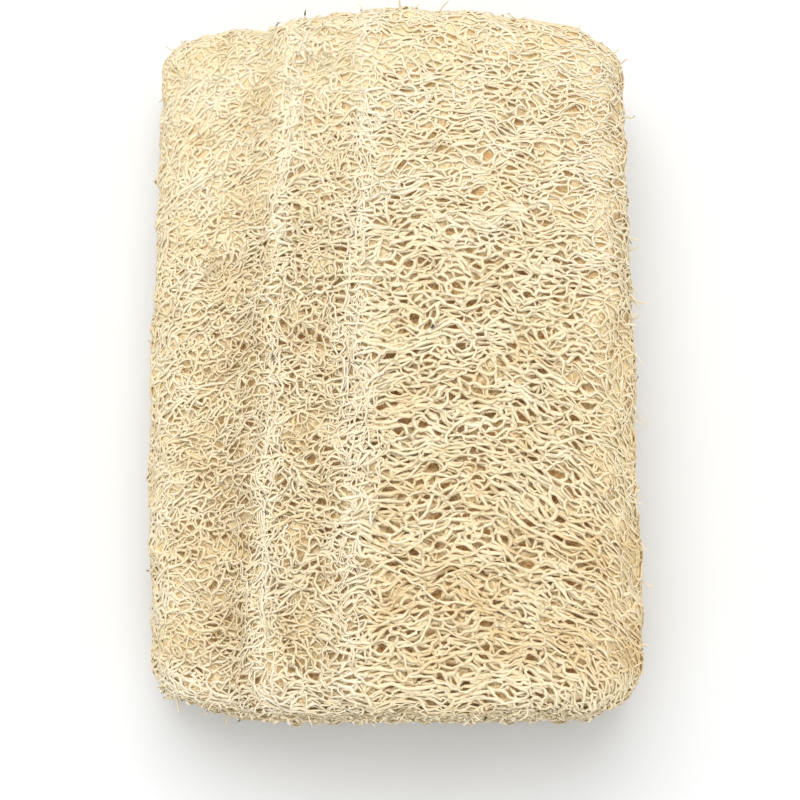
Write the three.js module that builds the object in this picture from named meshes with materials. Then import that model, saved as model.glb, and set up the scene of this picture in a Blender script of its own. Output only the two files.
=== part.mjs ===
// A natural loofah sponge: one cut length of a dried luffa gourd, pressed flat into a thick pad.
// The gourd grew in one piece, so the pad is one closed body. It lies on its flat underside.
// Millimetres, +Z up, +Y along the gourd's length, origin at the bottom centre of the pad's box.

import * as THREE from 'three';

const { lerp, smoothstep, degToRad } = THREE.MathUtils;

// Overall size of the pressed pad
const LENGTH = 150;
const WIDTH = 103;
const THICKNESS = 42;

// Two lengthwise creases, where the gourd's wall folded as it was pressed, split the upper face
// into three bands. Each crease wanders a little from the near end to the far end.
const OUTER_CREASE = { near: -31.5, far: -25.5 };
const INNER_CREASE = { near: -12.5, far: -9.5 };
const LOW_BAND_HEIGHT = 29;
const MIDDLE_BAND_HEIGHT = 37.5;
const MIDDLE_BAND_HOLLOW = 1.6;
const CREASE_RUN = 4.5;

// The wide band is the highest: it is crowned, and falls towards its free edge
const CROWN_X = 8;
const FREE_EDGE_FALL = 4.5;
const LENGTHWISE_FALL = 1.5;

// Rounded rims: along the two sides, above and below, and around the two cut ends
const LOW_SIDE_RIM = 11;
const FREE_SIDE_RIM = 14;
const UNDERSIDE_RIM = 7;
const END_RIM = 9;
const END_UNDERSIDE_LIFT = 5;

// Each cut end bulges slightly inside its rim: how far in each ring lies, and how far it stands out
const END_FACE_RINGS = [
  { inset: 13, bulge: 0.5 },
  { inset: 17, bulge: 0.8 },
];

// The pad is widest a little nearer than mid-length and narrows to its far end. The ends aren't
// cut square: the low band stops short, and so do the corners.
const WIDEST_Y = -30;
const FAR_END_NARROWER = 2;
const LOW_BAND_SHORT = { near: 1.9, far: 2.9 };
const SHORT_RUN = 9;
const FREE_CORNER_SHORT = { near: 1, far: 4 };
const LOW_CORNER_SHORT = { near: 2.5, far: 1 };
const LOW_CORNER_RUN = 14;

// How finely the body is divided
const RIM_STEPS = 6;
const TOP_STEPS = 30;
const LENGTH_STEPS = 26;

const along = (range, y) => lerp(range.near, range.far, 0.5 + y / LENGTH);
const halfWidth = (y) => (
  WIDTH / 2 - FAR_END_NARROWER * ((y - WIDEST_Y) / (LENGTH / 2 - WIDEST_Y)) ** 2
);

// Height of the upper face, before its rims are rounded
function topHeight(x, y) {
  const outer = along(OUTER_CREASE, y);
  const inner = along(INNER_CREASE, y);
  const outerStep = smoothstep(x, outer - CREASE_RUN, outer + CREASE_RUN);
  const innerStep = smoothstep(x, inner - CREASE_RUN, inner + CREASE_RUN);
  const hollow = Math.sin(Math.PI * smoothstep(x, outer, inner)) * MIDDLE_BAND_HOLLOW;
  const beyondCrown = Math.max(0, x - CROWN_X) / (WIDTH / 2 - CROWN_X);
  return lerp(LOW_BAND_HEIGHT, MIDDLE_BAND_HEIGHT, outerStep)
    + (THICKNESS - MIDDLE_BAND_HEIGHT) * innerStep
    - hollow
    - FREE_EDGE_FALL * beyondCrown ** 2
    - LENGTHWISE_FALL * (2 * y / LENGTH) ** 4;
}

// A quarter circle of rim points about (x, z), from one angle to another, in degrees
function rim(x, z, radius, from, to) {
  const points = [];
  for (let i = 0; i <= RIM_STEPS; i += 1) {
    const angle = degToRad(lerp(from, to, i / RIM_STEPS));
    points.push([x + radius * Math.cos(angle), z + radius * Math.sin(angle)]);
  }
  return points;
}

// One cross-section in X and Z, from the underside's left edge over the top to its right edge
function section(y) {
  const half = halfWidth(y);
  const left = -half + LOW_SIDE_RIM;
  const right = half - FREE_SIDE_RIM;
  const points = [
    ...rim(-half + UNDERSIDE_RIM, UNDERSIDE_RIM, UNDERSIDE_RIM, 270, 180),
    ...rim(left, topHeight(left, y) - LOW_SIDE_RIM, LOW_SIDE_RIM, 180, 90),
  ];
  for (let i = 1; i < TOP_STEPS; i += 1) {
    const x = lerp(left, right, i / TOP_STEPS);
    points.push([x, topHeight(x, y)]);
  }
  points.push(
    ...rim(right, topHeight(right, y) - FREE_SIDE_RIM, FREE_SIDE_RIM, 90, 0),
    ...rim(half - UNDERSIDE_RIM, UNDERSIDE_RIM, UNDERSIDE_RIM, 0, -90),
  );
  return points;
}

// How far an end is cut short of the full length at a point across the width
function endTrim(x, y) {
  const outer = along(OUTER_CREASE, y);
  const lowBand = 1 - smoothstep(x, outer - SHORT_RUN, outer + SHORT_RUN);
  const freeCorner = smoothstep(x, CROWN_X, WIDTH / 2);
  const lowCorner = smoothstep(-x, WIDTH / 2 - LOW_CORNER_RUN, WIDTH / 2);
  return lowBand * along(LOW_BAND_SHORT, y)
    + freeCorner * along(FREE_CORNER_SHORT, y)
    + lowCorner * along(LOW_CORNER_SHORT, y);
}

// Stations along the length: each end's face and rounded rim, and the even stretch between them.
// Inset is how far the section has drawn in at a station.
function stations() {
  const bulge = Math.max(...END_FACE_RINGS.map((face) => face.bulge));
  const reach = LENGTH / 2 - bulge;
  const near = END_FACE_RINGS.map((face) => ({ y: -reach - face.bulge, inset: face.inset }));
  near.reverse();
  for (let i = 0; i < RIM_STEPS; i += 1) {
    const angle = degToRad(90 * i / RIM_STEPS);
    const inset = END_RIM * (1 - Math.sin(angle));
    near.push({ y: -reach + END_RIM * (1 - Math.cos(angle)), inset });
  }
  const far = near.map(({ y, inset }) => ({ y: -y, inset })).reverse();
  const body = [];
  for (let i = 0; i <= LENGTH_STEPS; i += 1) {
    body.push({ y: lerp(-reach + END_RIM, reach - END_RIM, i / LENGTH_STEPS), inset: 0 });
  }
  return [...near, ...body, ...far];
}

// The section's points at a station, drawn in by its inset and trimmed at the ends
function ring({ y, inset }) {
  const lift = inset * END_UNDERSIDE_LIFT / END_RIM;
  return section(y).map(([x, z]) => {
    const drawnX = x * (1 - inset / halfWidth(y));
    const drawnZ = lift + z * (1 - (inset + lift) / THICKNESS);
    const trimmedY = y * (1 - endTrim(x, y) / (LENGTH / 2));
    return new THREE.Vector3(drawnX, trimmedY, drawnZ);
  });
}

function padGeometry() {
  const stops = stations();
  const rings = stops.map(ring);
  const count = rings[0].length;
  const index = [];
  const at = (i, j) => i * count + j;
  const quad = (a, b, c, d) => index.push(a, b, c, a, c, d);
  const flat = stops.map((stop) => stop.inset === 0);

  for (let i = 0; i + 1 < rings.length; i += 1) {
    for (let j = 0; j + 1 < count; j += 1) {
      quad(at(i, j), at(i, j + 1), at(i + 1, j + 1), at(i + 1, j));
    }
    if (!(flat[i] && flat[i + 1])) {
      quad(at(i, count - 1), at(i, 0), at(i + 1, 0), at(i + 1, count - 1));
    }
  }

  // A patch over a loop of vertices. The triangulation winds anticlockwise in the outline's own
  // plane, so a patch that faces the other way is turned over.
  const patch = (loop, outline, turned) => {
    for (const [a, b, c] of THREE.ShapeUtils.triangulateShape(outline, [])) {
      if (turned) index.push(loop[a], loop[c], loop[b]);
      else index.push(loop[a], loop[b], loop[c]);
    }
  };

  // The flat underside that the pad rests on
  const first = flat.indexOf(true);
  const last = flat.lastIndexOf(true);
  const under = [];
  for (let i = first; i <= last; i += 1) under.push(at(i, 0));
  for (let i = last; i >= first; i -= 1) under.push(at(i, count - 1));
  const vertices = rings.flat();
  patch(under, under.map((v) => new THREE.Vector2(vertices[v].x, vertices[v].y)), true);

  // The two cut ends
  for (const [i, turned] of [[0, false], [rings.length - 1, true]]) {
    const loop = Array.from({ length: count }, (_, j) => at(i, j));
    patch(loop, loop.map((v) => new THREE.Vector2(vertices[v].x, vertices[v].z)), turned);
  }

  const geometry = new THREE.BufferGeometry().setFromPoints(vertices);
  geometry.setIndex(index);
  geometry.computeVertexNormals();
  return geometry;
}

// Dried luffa fibre, bleached by washing to a pale cream straw
const luffaFibre = new THREE.MeshStandardMaterial({
  color: 0xe8d5ac,
  roughness: 0.85,
  metalness: 0,
});

const pad = new THREE.Mesh(padGeometry(), luffaFibre);
pad.name = 'loofah_sponge';

const loofah = new THREE.Group();
loofah.name = 'natural_loofah';
loofah.add(pad);

export default loofah;
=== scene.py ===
"""A natural loofah sponge: one cut length of dried luffa gourd, pressed flat into a thick pad.

The pad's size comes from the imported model. Its sections repeat that model's, with the ends and
corners trimmed to the real outline. Everything shown is the fibre: nets of wavy strands that
merge and split, laid over that shape at several depths. X runs across the pad from its low side
to its free side, and Y along it from the near end. Lengths are in millimetres until a mesh is
made, which is in metres."""

import math
from collections import namedtuple

import bpy
import numpy as np
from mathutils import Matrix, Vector
from mathutils.geometry import delaunay_2d_cdt


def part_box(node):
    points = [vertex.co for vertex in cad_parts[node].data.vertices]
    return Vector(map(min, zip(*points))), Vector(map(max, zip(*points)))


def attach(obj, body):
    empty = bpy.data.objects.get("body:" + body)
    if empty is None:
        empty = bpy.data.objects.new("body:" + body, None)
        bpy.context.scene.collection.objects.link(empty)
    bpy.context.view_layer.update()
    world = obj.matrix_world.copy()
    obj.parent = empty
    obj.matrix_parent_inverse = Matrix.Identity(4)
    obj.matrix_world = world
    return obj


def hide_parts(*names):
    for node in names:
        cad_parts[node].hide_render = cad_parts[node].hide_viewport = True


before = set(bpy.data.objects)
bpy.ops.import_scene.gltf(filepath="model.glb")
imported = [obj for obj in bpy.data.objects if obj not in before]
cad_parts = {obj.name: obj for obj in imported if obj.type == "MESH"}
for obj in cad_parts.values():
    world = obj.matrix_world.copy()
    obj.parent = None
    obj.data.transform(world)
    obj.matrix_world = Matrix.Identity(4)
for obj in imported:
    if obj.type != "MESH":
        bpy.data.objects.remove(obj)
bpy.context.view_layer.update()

MM = 0.001
PAD = "loofah_sponge"
BODY = "root"
UV = "OFBake"

# The pad's size, from the imported model
pad_low, pad_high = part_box(PAD)
WIDTH, LENGTH, THICKNESS = ((pad_high - pad_low) / MM)[:]

# The pad's sections, as it was pressed. A pair has the values at the near end and the far end.
OUTER_CREASE = (-31.5, -25.5)
INNER_CREASE = (-12.5, -9.5)
LOW_BAND_HEIGHT = 29
MIDDLE_BAND_HEIGHT = 37.5
MIDDLE_BAND_HOLLOW = 1.6
CREASE_RUN = 4.5
CROWN_X = 8
FREE_EDGE_FALL = 4.5
LENGTHWISE_FALL = 1.5
LOW_SIDE_RIM = 11
FREE_SIDE_RIM = 14
UNDERSIDE_RIM = 7
WIDEST_Y = -30
FAR_END_NARROWER = 2

# The cut ends: how they are rounded, lifted off the floor and bulged
END_RIM = 6.5
END_UNDERSIDE_LIFT = 5
END_BULGE = 0.8

# How far the ends are cut short of the full length, in pairs as above: on the low band, over the
# whole fall to the free edge, at the low corner and at the very tip of the free edge
LOW_BAND_SHORT = (1.3, 1.8)
LOW_BAND_SHORT_RUN = 9
FREE_CORNER_SHORT = (0.4, 3.6)
LOW_CORNER_SHORT = (3.4, 0.2)
LOW_CORNER_RUN = 14
FREE_TIP_SHORT = (1.2, 1.5)
FREE_TIP_RUN = 8

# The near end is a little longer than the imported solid's and lies a little towards the free
# side, where its corner is drawn in. The shift grows over its run towards the near end, and the
# corner starts from its X and that far towards the near end.
NEAR_END_LONGER = 0.7
NEAR_END_SHIFT = 1
NEAR_END_SHIFT_RUN = (20, 60)
NEAR_CORNER_IN = 1.6
NEAR_CORNER_START = (30, 62)


def mix(a, b, t):
    return a + (b - a) * t


def ease(x, low, high):
    """0 up to the low value, 1 from the high one, and a smooth rise between them."""
    t = np.clip((x - low) / (high - low), 0, 1)
    return t * t * (3 - 2 * t)


def bell(x, middle, spread):
    """1 at the middle, and falling away smoothly on both sides."""
    return np.exp(-(((x - middle) / spread) ** 2))


def unit(vectors):
    """The vectors, each brought to a length of 1."""
    return vectors / (np.linalg.norm(vectors, axis=-1, keepdims=True) + 1e-9)


def along(pair, y):
    """A value that goes evenly from its near-end to its far-end amount, at a place along."""
    return mix(pair[0], pair[1], 0.5 + y / LENGTH)


def half_width(y):
    return WIDTH / 2 - FAR_END_NARROWER * ((y - WIDEST_Y) / (LENGTH / 2 - WIDEST_Y)) ** 2


def top_height(x, y):
    """Height of the upper face before its rims are rounded."""
    outer, inner = along(OUTER_CREASE, y), along(INNER_CREASE, y)
    outer_step = ease(x, outer - CREASE_RUN, outer + CREASE_RUN)
    inner_step = ease(x, inner - CREASE_RUN, inner + CREASE_RUN)
    hollow = np.sin(np.pi * ease(x, outer, inner)) * MIDDLE_BAND_HOLLOW
    beyond_crown = np.maximum(0, x - CROWN_X) / (WIDTH / 2 - CROWN_X)
    return (
        mix(LOW_BAND_HEIGHT, MIDDLE_BAND_HEIGHT, outer_step)
        + (THICKNESS - MIDDLE_BAND_HEIGHT) * inner_step
        - hollow
        - FREE_EDGE_FALL * beyond_crown**2
        - LENGTHWISE_FALL * (2 * y / LENGTH) ** 4
    )


def end_trim(x, y):
    """How far an end is cut short of the full length at a point across the width."""
    outer = along(OUTER_CREASE, y)
    low_band = 1 - ease(x, outer - LOW_BAND_SHORT_RUN, outer + LOW_BAND_SHORT_RUN)
    free_corner = ease(x, CROWN_X, WIDTH / 2)
    low_corner = ease(-x, WIDTH / 2 - LOW_CORNER_RUN, WIDTH / 2)
    free_tip = ease(x, WIDTH / 2 - FREE_TIP_RUN, WIDTH / 2)
    return (
        low_band * along(LOW_BAND_SHORT, y)
        + free_corner * along(FREE_CORNER_SHORT, y)
        + low_corner * along(LOW_CORNER_SHORT, y)
        + free_tip * along(FREE_TIP_SHORT, y)
    )


# The skin is the pad's outer surface unrolled. Across, u, runs round the girth, from the middle
# of the underside over the low side, the top and the free side and back. Away, v, runs along the
# length, over each end's rim and a little way onto its face. The top is longer than it is wide,
# because it steps up at the creases.
TOP_EXTRA = 3
STRETCHES = [
    ("under_low", WIDTH / 2 - UNDERSIDE_RIM),
    ("rim_under_low", UNDERSIDE_RIM * math.pi / 2),
    ("low_side", LOW_BAND_HEIGHT - LOW_SIDE_RIM - UNDERSIDE_RIM),
    ("rim_low", LOW_SIDE_RIM * math.pi / 2),
    ("top", WIDTH - LOW_SIDE_RIM - FREE_SIDE_RIM + TOP_EXTRA),
    ("rim_free", FREE_SIDE_RIM * math.pi / 2),
    ("free_side", THICKNESS - FREE_EDGE_FALL - FREE_SIDE_RIM - UNDERSIDE_RIM),
    ("rim_under_free", UNDERSIDE_RIM * math.pi / 2),
    ("under_free", WIDTH / 2 - UNDERSIDE_RIM),
]
STARTS = dict(zip([n for n, _ in STRETCHES], np.cumsum([0] + [s for _, s in STRETCHES])))
GIRTH = sum(size for _, size in STRETCHES)
STRAIGHT_REACH = LENGTH / 2 - END_BULGE - END_RIM
RIM_REACH = STRAIGHT_REACH + END_RIM * math.pi / 2
FACE_INSET = 17
AWAY_REACH = RIM_REACH + FACE_INSET - END_RIM


def section(y):
    """Points X and Z of one cross-section, one for each millimetre of the girth."""
    half = half_width(y)
    left, right = -half + LOW_SIDE_RIM, half - FREE_SIDE_RIM
    low_z, free_z = top_height(left, y), top_height(right, y)

    def arc(x, z, radius, start, t):
        angle = np.radians(start - 90 * t)
        return x + radius * np.cos(angle), z + radius * np.sin(angle)

    def line(x0, z0, x1, z1, t):
        return mix(x0, x1, t), mix(z0, z1, t)

    under, rim = UNDERSIDE_RIM, half - UNDERSIDE_RIM
    shapes = {
        "under_low": lambda t: line(0, 0, -rim, 0, t),
        "rim_under_low": lambda t: arc(-rim, under, under, 270, t),
        "low_side": lambda t: line(-half, under, -half, low_z - LOW_SIDE_RIM, t),
        "rim_low": lambda t: arc(left, low_z - LOW_SIDE_RIM, LOW_SIDE_RIM, 180, t),
        "top": lambda t: (mix(left, right, t), top_height(mix(left, right, t), y)),
        "rim_free": lambda t: arc(right, free_z - FREE_SIDE_RIM, FREE_SIDE_RIM, 90, t),
        "free_side": lambda t: line(half, free_z - FREE_SIDE_RIM, half, under, t),
        "rim_under_free": lambda t: arc(rim, under, under, 0, t),
        "under_free": lambda t: line(rim, 0, 0, 0, t),
    }
    across = np.linspace(0, GIRTH, round(GIRTH) + 1)
    x, z = np.zeros_like(across), np.zeros_like(across)
    for name, size in STRETCHES:
        inside = (across >= STARTS[name]) & (across <= STARTS[name] + size)
        x[inside], z[inside] = shapes[name]((across[inside] - STARTS[name]) / size)
    start_x, start_y = NEAR_CORNER_START
    corner = ease(x, start_x, WIDTH / 2) * ease(-y, start_y, LENGTH / 2)
    shift = NEAR_END_SHIFT * ease(-y, *NEAR_END_SHIFT_RUN)
    return x + shift - NEAR_CORNER_IN * corner, z


def unroll():
    """The skin's points and outward normals on a grid with a step of about a millimetre."""
    rows = []
    away = np.linspace(-AWAY_REACH, AWAY_REACH, round(2 * AWAY_REACH) + 1)
    for v in away:
        reach = abs(v)
        angle = np.clip((reach - STRAIGHT_REACH) / END_RIM, 0, math.pi / 2)
        inset = END_RIM * (1 - np.cos(angle)) + max(0, reach - RIM_REACH)
        bulge = END_BULGE * np.clip((reach - RIM_REACH) / (FACE_INSET - END_RIM), 0, 1)
        out = min(reach, STRAIGHT_REACH) + END_RIM * np.sin(angle) + bulge
        y = math.copysign(out, v)
        x, z = section(y)
        longer = NEAR_END_LONGER if v < 0 else 0
        lift = inset * END_UNDERSIDE_LIFT / END_RIM
        rows.append(np.stack([
            x * (1 - inset / half_width(y)),
            y * (1 + (longer - end_trim(x, y)) / (LENGTH / 2)),
            lift + z * (1 - (inset + lift) / THICKNESS),
        ], 1))
    points = np.array(rows)
    return points, unit(np.cross(np.gradient(points, axis=1), np.gradient(points, axis=0)))


SKIN_POINTS, SKIN_NORMALS = unroll()


def on_skin(u, v):
    """Points and normals at places across and away on the skin."""
    rows, columns = SKIN_POINTS.shape[:2]
    just_short = rows - 1.001
    i = np.clip((v + AWAY_REACH) / (2 * AWAY_REACH) * (rows - 1), 0, just_short)
    j = (u % GIRTH) / GIRTH * (columns - 1)
    i0, j0 = i.astype(int), np.minimum(j.astype(int), columns - 2)
    fi, fj = (i - i0)[:, None], (j - j0)[:, None]
    found = []
    for grid in (SKIN_POINTS, SKIN_NORMALS):
        low = mix(grid[i0, j0], grid[i0, j0 + 1], fj)
        high = mix(grid[i0 + 1, j0], grid[i0 + 1, j0 + 1], fj)
        found.append(mix(low, high, fi))
    points, normals = found
    return points, unit(normals)


def across_of(x):
    """The place across the skin of a point of the upper face, by its X at mid-length."""
    left, right = -half_width(0) + LOW_SIDE_RIM, half_width(0) - FREE_SIDE_RIM
    return STARTS["top"] + (x - left) / (right - left) * dict(STRETCHES)["top"]


def past_x(u, span):
    """0 up to the first X of the upper face, 1 from the second, and a smooth rise between."""
    return ease(u, across_of(span[0]), across_of(span[1]))


# Places across the skin: the two creases, and where the underside and the sides end
CREASE_OUT, CREASE_IN = across_of(np.mean(OUTER_CREASE)), across_of(np.mean(INNER_CREASE))
UNDER_LOW_END, LOW_SIDE_END = STARTS["rim_under_low"], STARTS["rim_low"] + 8
FREE_SIDE_START, UNDER_FREE_START = STARTS["rim_free"] + 10, STARTS["under_free"]


def ripple(u, v, size, seed, waves=14):
    """A smooth random field with a spread of 1 and features of about the given size."""
    rng = np.random.default_rng(seed)
    total = np.zeros_like(u)
    for _ in range(waves):
        turn = rng.uniform(0, 2 * math.pi)
        step = 2 * math.pi / (size * rng.uniform(1.5, 3))
        phase = rng.uniform(0, 2 * math.pi)
        total += np.cos(step * (u * math.cos(turn) + v * math.sin(turn)) + phase)
    return total * math.sqrt(2 / waves)


def ripples(u, v, layers):
    """Ripples laid over one another: how high each is, the size of its features and its seed."""
    return sum(height * ripple(u, v, size, seed) for height, size, seed in layers)


# How the strands run over the skin. They go round the gourd, so across the pad, and drift
# lengthwise by the flow: up to the right on the low band, and down to the right where the wide
# band nears its free edge. That bend grows over the given distances towards the near end. All of
# them also wander.
LOW_BAND_SLOPE = 0.42
LOW_BAND_RUN = 26
FREE_EDGE_SLOPE = 0.75
FREE_EDGE_RUN = 36
FREE_EDGE_BEND_X = 14
PAST_FREE_RIM = 16
BEND_GROWS = (-20, 30)
FLOW_RIPPLES = ((0.5, 15, 5), (0.4, 5, 6))


def flow(u, v, slant=1.0):
    """How far a strand has drifted along the length where it is at a place across."""
    low = LOW_BAND_SLOPE * np.clip(u - CREASE_OUT, -LOW_BAND_RUN, 0)
    start, end = across_of(FREE_EDGE_BEND_X), across_of(WIDTH / 2 - FREE_SIDE_RIM) + PAST_FREE_RIM
    run = np.clip(u - start, 0, end - start)
    bend = ease(-v, *BEND_GROWS) * FREE_EDGE_SLOPE * run**2 / (2 * FREE_EDGE_RUN)
    return slant * low - bend + ripples(u, v, FLOW_RIPPLES)


# How far a cell's seed is thrown off its place, as a share of the cell
THROW = 0.4


def lattice(u0, u1, cell_u, cell_v, rng, reach):
    """Seeds of cells in staggered rows, each thrown off its place."""
    rows = []
    count = max(2, round((u1 - u0) / cell_u))
    for k, v in enumerate(np.arange(-reach, reach, cell_v)):
        u = u0 + (np.arange(count) + 0.5 * (k % 2)) * (u1 - u0) / count
        rows.append(np.stack([u, np.full(count, v)], 1))
    seeds = np.concatenate(rows)
    return seeds + rng.uniform(-THROW, THROW, seeds.shape) * (cell_u, cell_v)


def neighbours(triangles):
    """The triangle across each side of every triangle, or -1."""
    sides = np.sort(triangles[:, [[0, 1], [1, 2], [2, 0]]].reshape(-1, 2), axis=1)
    key = sides[:, 0].astype(np.int64) * (sides.max() + 1) + sides[:, 1]
    order = np.argsort(key, kind="stable")
    same = key[order][1:] == key[order][:-1]
    across = np.full(len(key), -1)
    a, b = order[:-1][same], order[1:][same]
    across[a], across[b] = b // 3, a // 3
    return across.reshape(-1, 3)


# How much a strand that goes on would rather run across the pad, and how many times the usual
# link a link between nodes may measure
ACROSS_PULL = 0.25
LONGEST_LINK = 6


def net(seeds, stretch):
    """Paths of strands round the cells of the seeds. At each node two of its three sides belong
    to a strand that goes on, and the third is a strand that ends by running into it."""
    spots = [Vector((u, v * stretch)) for u, v in seeds]
    triangles = np.array(delaunay_2d_cdt(spots, [], [], 0, 1e-6)[2])
    nodes = seeds[triangles].mean(axis=1)
    beside = neighbours(triangles)
    scaled = nodes * (1, stretch)
    reach = np.linalg.norm(scaled[beside] - scaled[:, None], axis=2)
    beside[(beside >= 0) & (reach > LONGEST_LINK * np.median(reach))] = -1

    heading = unit(scaled[beside] - scaled[:, None])
    pairs = [(0, 1), (1, 2), (2, 0)]
    scores = np.stack([
        -(heading[:, a] * heading[:, b]).sum(1)
        + ACROSS_PULL * (abs(heading[:, a, 0]) + abs(heading[:, b, 0]))
        for a, b in pairs
    ], 1)
    best = scores.argmax(1)

    partner = np.full((len(nodes), 3), -1)
    for choice, (a, b) in enumerate(pairs):
        chosen = best == choice
        partner[chosen, a], partner[chosen, b] = b, a
    partner[beside < 0] = -1

    beside_list, partner_list = beside.tolist(), partner.tolist()
    used = set()
    paths = []

    def follow(node, side):
        path = [node]
        while True:
            there = beside_list[node][side]
            edge = (min(node, there), max(node, there))
            if there < 0 or edge in used:
                return path
            used.add(edge)
            path.append(there)
            came = beside_list[there].index(node)
            side = partner_list[there][came]
            node = there
            if side < 0 or beside_list[node][side] < 0:
                return path

    free_sides = [
        (n, s) for n in range(len(nodes)) for s in range(3)
        if partner_list[n][s] < 0 and beside_list[n][s] >= 0
    ]
    every_side = [(n, s) for n in range(len(nodes)) for s in range(3)]
    for n, s in free_sides + every_side:
        path = follow(n, s)
        if len(path) > 1:
            paths.append(path)
    return nodes, beside, heading, paths


# How far an end runs on towards the next node, and the share of the shortest strands left out
RUN_ON = 0.75
SHORT_LEFT_OUT = 0.12


def run_on(path, nodes, beside, heading):
    """A strand's end runs on a little way along the strand that it meets."""
    end, before = path[-1], path[-2]
    came = heading[end][beside[end].tolist().index(before)]
    ahead = [
        (-(heading[end][s] * came).sum(), there)
        for s, there in enumerate(beside[end].tolist())
        if there >= 0 and there != before
    ]
    if not ahead:
        return None
    return mix(nodes[end], nodes[max(ahead)[1]], RUN_ON)


def strands_of(seeds, stretch, rng):
    """Strands as lists of places across and away, one for each path of the net."""
    nodes, beside, heading, paths = net(seeds, stretch)
    strands = []
    for path in paths:
        if len(path) <= 3 and rng.random() < SHORT_LEFT_OUT:
            continue
        places = [nodes[n] for n in path]
        first = run_on(path[::-1], nodes, beside, heading)
        last = run_on(path, nodes, beside, heading)
        places = [first] * (first is not None) + places + [last] * (last is not None)
        strands.append(np.array(places))
    return strands


def smooth(strands, steps):
    """Each strand as a B-spline, with so many points for each of its stretches. Returns the
    points of all the strands in one array, each point's strand, and how near it is to a place
    where strands meet: 1 there, 0 halfway between two of them."""
    points, owner, meeting = [], [], []
    t = (np.arange(steps) / steps)[None, :, None]
    weights = (
        (1 - t) ** 3 / 6,
        (3 * t**3 - 6 * t**2 + 4) / 6,
        (-3 * t**3 + 3 * t**2 + 3 * t + 1) / 6,
        t**3 / 6,
    )
    for k, strand in enumerate(strands):
        before, after = 2 * strand[:1] - strand[1:2], 2 * strand[-1:] - strand[-2:-1]
        held = np.concatenate([before, strand, after])
        pieces = sum(w * held[i:i + len(strand) - 1, None] for i, w in enumerate(weights))
        curve = np.concatenate([pieces.reshape(-1, strand.shape[1]), strand[-1:]])
        points.append(curve)
        owner.append(np.full(len(curve), k))
        meeting.append(0.5 + 0.5 * np.cos(2 * math.pi * np.arange(len(curve)) / steps))
    return np.concatenate(points), np.concatenate(owner), np.concatenate(meeting)


def add_piece(name, mesh, material):
    """Makes the mesh a piece of the pad, which rides on its body and stands for its solid."""
    mesh.materials.append(material)
    piece = bpy.data.objects.new(name, mesh)
    bpy.context.scene.collection.objects.link(piece)
    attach(piece, BODY)
    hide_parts(PAD)


# A pressed strand's height beside its width, how far the corners of a tube with 3 or 4 sides
# stand out for it to look as thick as a round strand, how thin a strand's ends are, how much its
# tone and its shade vary round it, and the range that both stay in
FLATNESS = 0.75
CORNERS_OUT = {3: 1.15, 4: 1.05}
END_TAPER = 0.45
TONE_ROUND, SHADE_ROUND = 0.03, 0.015
FINISH_RANGE = (0.01, 0.99)


def tubes(
    name, points, outward, owner, radius, tone, shade, material, sides=3, flatness=FLATNESS
):
    """One mesh of closed tubes. The strand of each point is its owner, outward is the direction
    that one side of the tube faces, and tone and shade are the point's place in the finish, the
    tone with painted light and shade by place and the shade being painted shade. No strand goes
    below the floor."""
    size = radius * CORNERS_OUT[sides]
    points = points.copy()
    points[:, 2] = np.maximum(points[:, 2], size)
    before = np.roll(owner, 1) == owner
    before[0] = False
    after = np.roll(owner, -1) == owner
    after[-1] = False
    ahead = np.where(after[:, None], np.roll(points, -1, 0), points)
    behind = np.where(before[:, None], np.roll(points, 1, 0), points)
    tangent = unit(ahead - behind)
    aside = unit(np.cross(tangent, outward))
    up = np.cross(aside, tangent)

    turns = math.pi / 2 + (np.arange(sides) + 0.5) * 2 * math.pi / sides
    size = (size * np.where(before & after, 1.0, END_TAPER))[:, None, None]
    rise = flatness * np.sin(turns)[:, None]
    ring = aside[:, None] * np.cos(turns)[:, None] + up[:, None] * rise
    vertices = (points[:, None] + size * ring).reshape(-1, 3) * MM

    here = np.nonzero(after)[0]
    k = np.arange(sides)
    a = here[:, None] * sides + k
    b = here[:, None] * sides + (k + 1) % sides
    quads = np.stack([a, a + sides, b + sides, b], 2).reshape(-1, 4)
    starts = np.nonzero(~before & after)[0][:, None] * sides + k
    ends = np.nonzero(before & ~after)[0][:, None] * sides + k[::-1]
    corners = np.concatenate([quads.ravel(), starts.ravel(), ends.ravel()])
    sizes = np.concatenate([
        np.full(len(quads), 4), np.full(len(starts) + len(ends), sides)
    ])

    mesh = bpy.data.meshes.new(name)
    mesh.vertices.add(len(vertices))
    mesh.vertices.foreach_set("co", vertices.ravel())
    mesh.loops.add(len(corners))
    mesh.loops.foreach_set("vertex_index", corners.astype(np.int32))
    mesh.polygons.add(len(sizes))
    loop_starts = np.concatenate([[0], np.cumsum(sizes)[:-1]])
    mesh.polygons.foreach_set("loop_start", loop_starts.astype(np.int32))
    mesh.update(calc_edges=True)
    mesh.validate()
    mesh.shade_smooth()

    layer = mesh.uv_layers.new(name=UV)
    place = np.stack([
        np.clip(tone[:, None] + TONE_ROUND * np.sin(turns), *FINISH_RANGE),
        np.clip(shade[:, None] + SHADE_ROUND * np.cos(turns), *FINISH_RANGE),
    ], 2).reshape(-1, 2)
    read = np.zeros(len(mesh.loops), np.int32)
    mesh.loops.foreach_get("vertex_index", read)
    layer.data.foreach_set("uv", place[read].ravel().astype(np.float32))
    add_piece(name, mesh, material)


# How little a strand turns at a point for it to count as straight, and the fewest points that a
# strand is kept with after it is cut
STRAIGHT_ENOUGH = math.cos(math.radians(17))
LEAST_POINTS = 3


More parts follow.
